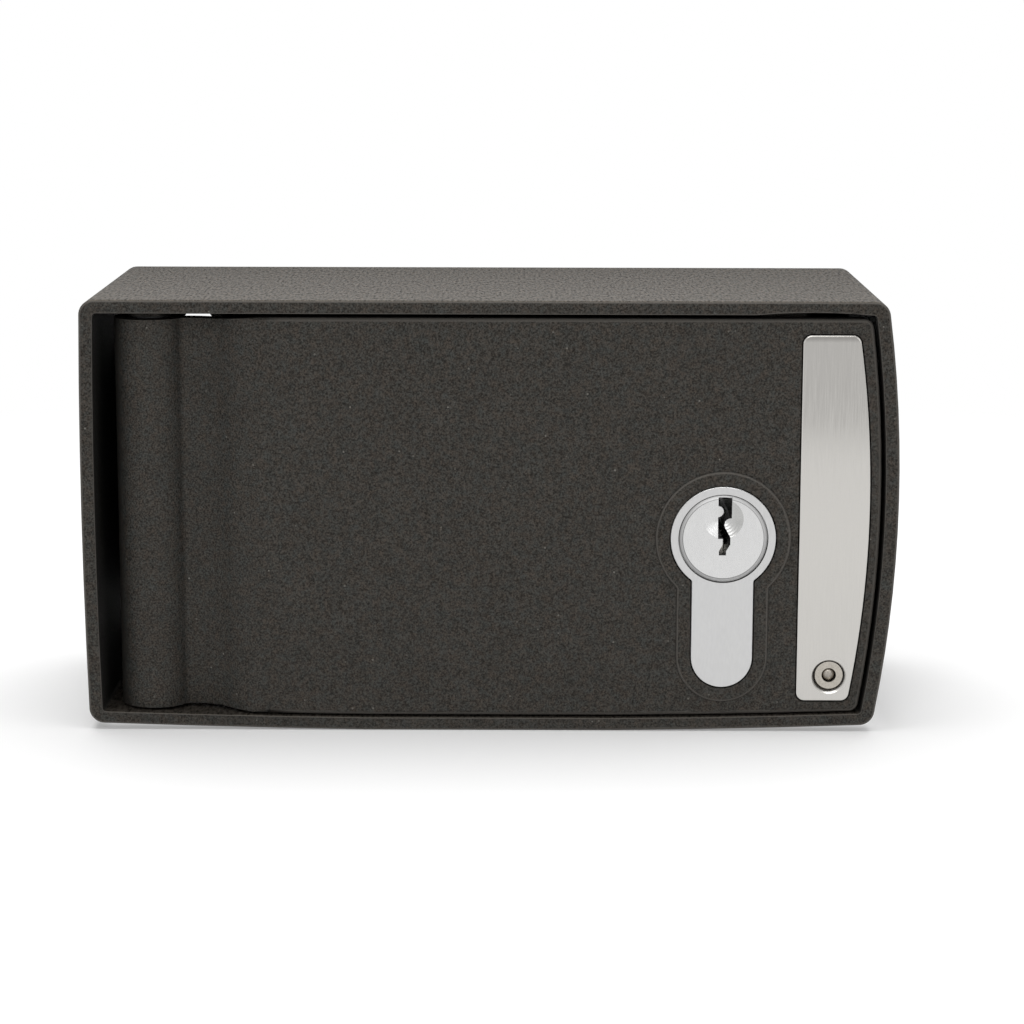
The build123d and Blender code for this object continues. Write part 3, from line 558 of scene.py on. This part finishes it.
cap_head = [(-under_head, screw_radius), (0.0, head_radius - head_chamfer / 2),
            (head_chamfer / 2, head_radius), (head_height - head_chamfer, head_radius),
            (head_height, head_radius - head_chamfer)]
flush_head = [(-sink_height, screw_radius), (-under_head, head_radius), (0.0, head_radius)]
low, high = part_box("bolt_cover_screws")
plated_screws("bolt_cover_screws",
              socket_screw(high.y - low.y - head_height, head_height, cap_head),
              -quarter_turn, "X",
              ((low.x + high.x) / 2, high.y - head_height, low.z + head_radius),
              (0.0, 0.0, high.z - low.z - 2 * head_radius), "door")
low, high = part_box("rail_screws")
plated_screws("rail_screws", socket_screw(high.y - low.y - head_height, head_height, cap_head),
              quarter_turn, "X",
              (low.x + head_radius, low.y + head_height, (low.z + high.z) / 2),
              (high.x - low.x - 2 * head_radius, 0.0, 0.0), "case")
low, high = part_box("keep_screws")
plated_screws("keep_screws", socket_screw(high.x - low.x, 0.0, flush_head), -quarter_turn, "Y",
              (low.x, (low.y + high.y) / 2, low.z + head_radius),
              (0.0, 0.0, high.z - low.z - 2 * head_radius), "case")

# Door buffers.
# Two soft black rubber pads on the door stops.

dress("door_buffers", moulded("black_rubber", (0.03, 0.03, 0.03), 0.7))

# Trim strip.
# Stainless sheet, brushed along its length, with a rolled top edge.
# A blind rivet holds its foot, and a tab behind it holds its top.

strip_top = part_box("trim_strip")[1].z
band_foot = strip_top - 1.3 * millimetre
band_top = strip_top - 0.4 * millimetre
band_strength = 0.42
# The band's colour is painted shade below the rolled top edge.
band_shade_tone = (0.25, 0.24, 0.23)
seat_edge = 3.6 * millimetre
seat_radius = 3.0 * millimetre
seat_roughness = 0.32


def top_edge_painted_shade(metal):
    """Painted shade: a darker band below the rolled top edge."""
    band = metal.span(metal.axis(metal.place, "Z"), band_foot, band_top, high=band_strength,
                      curve="SMOOTHSTEP")
    metal.give(Base_Color=metal.times(band, metal.source("Base Color"), band_shade_tone))


def scuffed_sink(metal, node):
    """The dished seat round the rivet is duller than the brushed face."""
    low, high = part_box(node)
    radius = face_radius(metal, (low + high) / 2)[0]
    seat = metal.span(radius, seat_edge, seat_radius)
    metal.give(Roughness=metal.mix(seat, metal.source("Roughness"), seat_roughness, "FLOAT"))


strip_steel = plain_metal("strip_brushed_steel", (0.600, 0.584, 0.556), 0.11, 5600.0,
                          (1.0, 1.0, 0.04), 0.035, 0.25)
top_edge_painted_shade(strip_steel)
scuffed_sink(strip_steel, "strip_rivet")
dress("trim_strip", strip_steel)

# Rivet and mandrel.
# A blind rivet of stainless steel, with the broken stem of its mandrel left in it.

dome_slope = -0.7


def domed_end(metal, node):
    """Shade the end of a stem as the shallow dome that the break leaves."""
    low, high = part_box(node)
    radius = face_radius(metal, (low + high) / 2)[0]
    dome = metal.maths("MULTIPLY", metal.maths("POWER", radius, 2.0),
                       dome_slope / (high.x - low.x))
    metal.give(Normal=metal.bump(dome, 1.0, 1.0, Normal=metal.source("Normal")))


dress("strip_rivet", plain_metal("rivet_steel", (0.53, 0.495, 0.44), 0.3, 2500.0, contrast=0.2))
mandrel_steel = plain_metal("mandrel_steel", (0.40, 0.37, 0.33), 0.3, 2500.0, contrast=0.4)
domed_end(mandrel_steel, "rivet_mandrel")
dress("rivet_mandrel", mandrel_steel)

# Camera.
# It stands in front of the box, a little above it, and looks slightly down.

frame_width_px = 1024.0
focal_px = 2829.8
sensor_width = 36.0
camera_place = Vector((4.80, -471.45, 120.18)) * millimetre
pitch = math.radians(-10.70)
yaw = math.radians(0.16)
roll = math.radians(0.14)
camera_data = bpy.data.cameras.new("camera")
camera_data.sensor_width = sensor_width
camera_data.lens = focal_px * sensor_width / frame_width_px
camera = bpy.data.objects.new("camera", camera_data)
bpy.context.scene.collection.objects.link(camera)
turn = (Matrix.Rotation(yaw, 4, "Z") @ Matrix.Rotation(quarter_turn + pitch, 4, "X")
        @ Matrix.Rotation(roll, 4, "Z"))
camera.matrix_world = Matrix.Translation(camera_place) @ turn
bpy.context.scene.camera = camera

# Floor.
# A pale matt sheet under the box that fades into the white background.
# It glows for the camera with painted light that lifts shadows, most under the box, and
# reflections see a painted grey glow.

floor_half = 4.0
floor_colour = (0.88, 0.88, 0.88)
fade_from = 0.17
fade_to = 0.34
least_lift = 0.13
lift_under_box = 0.55
foot_margin = 4 * millimetre
reflected_lift = 0.8
far_dim_from = -0.31
far_dim_to = -0.35
near_dim_from = -0.17
near_dim_to = -0.10
near_dim = 0.13
reflected_grey = (0.73, 0.73, 0.73)
floor_mesh = bpy.data.meshes.new("floor")
floor_corners = [Vector((x, y, 0)) * floor_half for x, y in ((-1, -1), (1, -1), (1, 1), (-1, 1))]
floor_mesh.from_pydata(floor_corners, [], [(0, 1, 2, 3)])
floor = bpy.data.objects.new("floor", floor_mesh)
bpy.context.scene.collection.objects.link(floor)

sheet = Finish("floor_sheet")
sheet.give(Base_Color=floor_colour, Roughness=0.9, Specular_IOR_Level=0.1)
fade = sheet.span(sheet.vectors("LENGTH", sheet.place, output="Value"), fade_from, fade_to)
under_width, under_depth = (
    sheet.span(sheet.maths("ABSOLUTE", sheet.axis(sheet.place, letter)), reach,
               reach - foot_margin)
    for letter, reach in (("X", packed_high[0]), ("Y", packed_high[1])))
under = sheet.maths("MULTIPLY", under_width, under_depth)
# Painted light: for the camera the floor glows a little near the box and more under it,
# lightening its shadow.
lift = sheet.maths("MAXIMUM", fade, sheet.span(under, 0.0, 1.0, least_lift, lift_under_box))
paths = sheet.tree.nodes.new("ShaderNodeLightPath").outputs
mirrored = paths["Is Glossy Ray"]
seen_share = sheet.maths("MULTIPLY", lift, paths["Is Camera Ray"])
# Painted reflection: glossy rays see the floor glow grey, dimmer far forward and slightly dimmer
# near the box.
mirrored_share = sheet.maths("MULTIPLY", sheet.maths("MAXIMUM", fade, reflected_lift), mirrored)
forward = sheet.axis(sheet.place, "Y")
dim = sheet.maths("ADD", sheet.span(forward, far_dim_from, far_dim_to, curve="SMOOTHSTEP"),
                  sheet.span(forward, near_dim_from, near_dim_to, high=near_dim))
tone = sheet.mix(sheet.maths("MULTIPLY", dim, mirrored), (1.0, 1.0, 1.0), reflected_grey)
lit = sheet.node("ShaderNodeMixShader", "Shader", {
    "Fac": sheet.maths("ADD", seen_share, mirrored_share), 1: sheet.shader.outputs["BSDF"],
    2: sheet.node("ShaderNodeEmission", "Emission", {"Color": tone})})
sheet.feed(sheet.tree.nodes["Material Output"].inputs["Surface"], lit)
floor_mesh.materials.append(sheet.material)

# Light.
# One wide soft lamp above, two weaker ones in front, and a white surround.


def soft_lamp(name, place, target, size, power):
    """A square soft box that points at the target."""
    data = bpy.data.lights.new(name, "AREA")
    data.shape = "SQUARE"
    data.size = size
    data.energy = power
    lamp = bpy.data.objects.new(name, data)
    lamp.location = place
    lamp.rotation_euler = (Vector(target) - Vector(place)).to_track_quat("-Z", "Y").to_euler()
    bpy.context.scene.collection.objects.link(lamp)


soft_lamp("overhead_lamp", (0.0, 0.12, 0.9), (0, 0, 0), 0.9, 9.0)
soft_lamp("front_lamp", (-0.12, -0.95, 0.75), (0, 0, 0.03), 0.6, 3.0)
soft_lamp("side_lamp", (0.42, -0.85, 0.20), (0.03, 0, 0.03), 0.24, 0.3)

ambient_strength = 0.40
world = bpy.data.worlds.new("surround")
bpy.context.scene.world = world
world.use_nodes = True
air = Wiring(world.node_tree)
ambient = air.tree.nodes["Background"]
air.feed(ambient.inputs["Color"], (1.0, 1.0, 1.0))
air.feed(ambient.inputs["Strength"], ambient_strength)
backdrop = air.node("ShaderNodeBackground", "Background",
                    {"Color": (1.0, 1.0, 1.0), "Strength": 1.0})
paths = air.tree.nodes.new("ShaderNodeLightPath").outputs
straight = air.maths("MAXIMUM", paths["Is Camera Ray"], paths["Is Glossy Ray"])
choice = air.node("ShaderNodeMixShader", "Shader", {
    "Fac": air.maths("MAXIMUM", straight, paths["Is Transmission Ray"]),
    1: ambient.outputs["Background"], 2: backdrop})
air.feed(air.tree.nodes["World Output"].inputs["Surface"], choice)

bpy.context.scene.view_settings.view_transform = "Standard"
